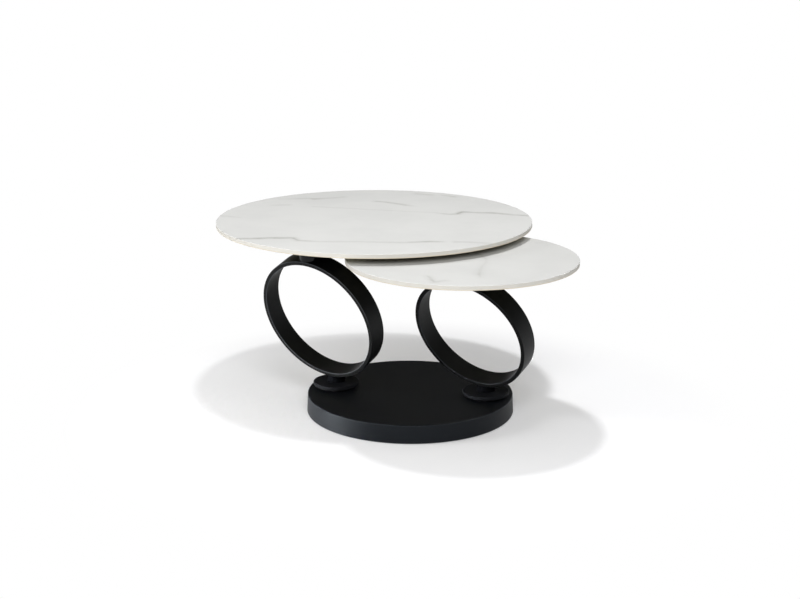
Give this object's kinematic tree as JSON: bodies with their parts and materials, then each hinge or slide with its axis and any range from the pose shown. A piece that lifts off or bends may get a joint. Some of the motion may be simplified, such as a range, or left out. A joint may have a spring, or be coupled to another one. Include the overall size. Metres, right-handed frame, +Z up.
{
  "type": "swivel coffee table",
  "caption": "Low table with round stone tops at different heights, each carried by a leaning black ring that swivels on a weighted round base.",
  "frame": {"origin": "centre of the floor pad's underside, on the floor under the middle of the round base", "axes": "+Z up, +X from the upper ring's pivot towards the lower ring's pivot, +Y towards the side that the upper top overhangs"},
  "size_m": [0.94, 0.9342, 0.4463],
  "materials": {
    "base_coat": "matte black powder coat",
    "swivel_coat": "matte black powder coat",
    "ring_coat": "matte black powder coat with eased rims",
    "upper_stone": "satin, white with faint grey veins",
    "lower_stone": "satin, white with faint grey veins",
    "plate_steel": "primed black",
    "fastener_steel": "zinc plated",
    "bush_bronze": "turned",
    "insert_brass": "turned",
    "slide_plastic": "matte",
    "ballast_iron": "as cast",
    "pad_rubber": "fine textured"
  },
  "bodies": {
    "base": {"base_shell": "base_coat", "bottom_plate": "plate_steel", "floor_pad": "pad_rubber", "ballast_disc": "ballast_iron", "ballast_screws": "fastener_steel", "base_standoffs": "fastener_steel", "bottom_screws": "fastener_steel", "upper_foot_housing": "plate_steel", "upper_foot_bush": "bush_bronze", "upper_foot_slide_ring": "slide_plastic", "lower_foot_housing": "plate_steel", "lower_foot_bush": "bush_bronze", "lower_foot_slide_ring": "slide_plastic"},
    "upper_ring": {"upper_foot_disc": "swivel_coat", "upper_foot_spindle": "fastener_steel", "upper_foot_washer": "fastener_steel", "upper_foot_nut": "fastener_steel", "upper_foot_neck": "swivel_coat", "upper_ring_band": "ring_coat", "upper_head_neck": "swivel_coat", "upper_head_slide_ring": "slide_plastic", "upper_head_spindle": "fastener_steel", "upper_head_washer": "fastener_steel", "upper_head_nut": "fastener_steel"},
    "upper_top": {"upper_head_plate": "swivel_coat", "upper_head_bush": "bush_bronze", "upper_plate_screws": "fastener_steel", "upper_stone_inserts": "insert_brass", "upper_stone_top": "upper_stone"},
    "lower_ring": {"lower_foot_disc": "swivel_coat", "lower_foot_spindle": "fastener_steel", "lower_foot_washer": "fastener_steel", "lower_foot_nut": "fastener_steel", "lower_foot_neck": "swivel_coat", "lower_ring_band": "ring_coat", "lower_head_neck": "swivel_coat", "lower_head_slide_ring": "slide_plastic", "lower_head_spindle": "fastener_steel", "lower_head_washer": "fastener_steel", "lower_head_nut": "fastener_steel"},
    "lower_top": {"lower_head_plate": "swivel_coat", "lower_head_bush": "bush_bronze", "lower_plate_screws": "fastener_steel", "lower_stone_inserts": "insert_brass", "lower_stone_top": "lower_stone"}
  },
  "joints": [
    {"name": "upper_ring_swivel", "type": "hinge", "parent": "base", "child": "upper_ring", "pos_m": [-0.1895, 0, 0.0465], "axis": [0, 0, 1], "range_deg": [-145, 15]},
    {"name": "lower_ring_swivel", "type": "hinge", "parent": "base", "child": "lower_ring", "pos_m": [0.1895, 0, 0.0465], "axis": [0, 0, 1], "continuous": true},
    {"name": "upper_top_swivel", "type": "hinge", "parent": "upper_ring", "child": "upper_top", "pos_m": [-0.23117, -0.09359, 0.39829], "axis": [0, 0, 1], "continuous": true},
    {"name": "lower_top_swivel", "type": "hinge", "parent": "lower_ring", "child": "lower_top", "pos_m": [0.14143, -0.10169, 0.37079], "axis": [0, 0, 1], "continuous": true}
  ]
}
